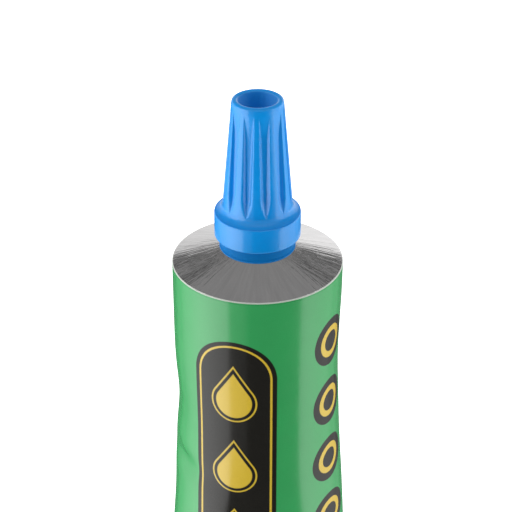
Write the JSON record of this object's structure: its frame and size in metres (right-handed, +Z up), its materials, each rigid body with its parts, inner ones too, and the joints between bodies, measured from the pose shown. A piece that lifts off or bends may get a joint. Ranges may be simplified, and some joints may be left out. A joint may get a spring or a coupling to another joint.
{
  "type": "glue tube",
  "caption": "Collapsible aluminium tube of gel glue with a fluted conical screw cap, a bare metal shoulder with a closed nozzle under the cap, and a flat folded end.",
  "frame": {"origin": "middle of the end fold's flat foot, at the bottom of the object's box", "axes": "+Z up the tube's axis towards the cap, X along the end fold, -Y towards the picture's camera"},
  "size_m": [0.0346, 0.022, 0.1304],
  "materials": {
    "bare_aluminium": "bare, with fine radial drawing streaks on the shoulder",
    "green_enamel": "gloss baked enamel, printed",
    "sealant": "matt",
    "gel": "clear to milky gel",
    "liner_foam": "soft foam",
    "blue_plastic": "gloss moulded"
  },
  "bodies": {
    "tube": {"tube_body": "bare_aluminium", "print_coat": "green_enamel", "end_sealant": "sealant", "glue_gel": "gel"},
    "liner": {"cap_liner": "liner_foam"},
    "cap": {"screw_cap": "blue_plastic"}
  },
  "joints": [
    {"name": "cap_rise", "type": "slide", "parent": "tube", "child": "liner", "axis": [0, 0, 1], "range_m": [0, 0.00675]},
    {"name": "cap_turn", "type": "hinge", "parent": "liner", "child": "cap", "pos_m": [0, 0, 0.1161], "axis": [0, 0, 1], "range_deg": [0, 1620]}
  ],
  "couplings": [
    {"joint": "cap_turn", "follows": "cap_rise", "rad_per_m": 4188.8}
  ]
}
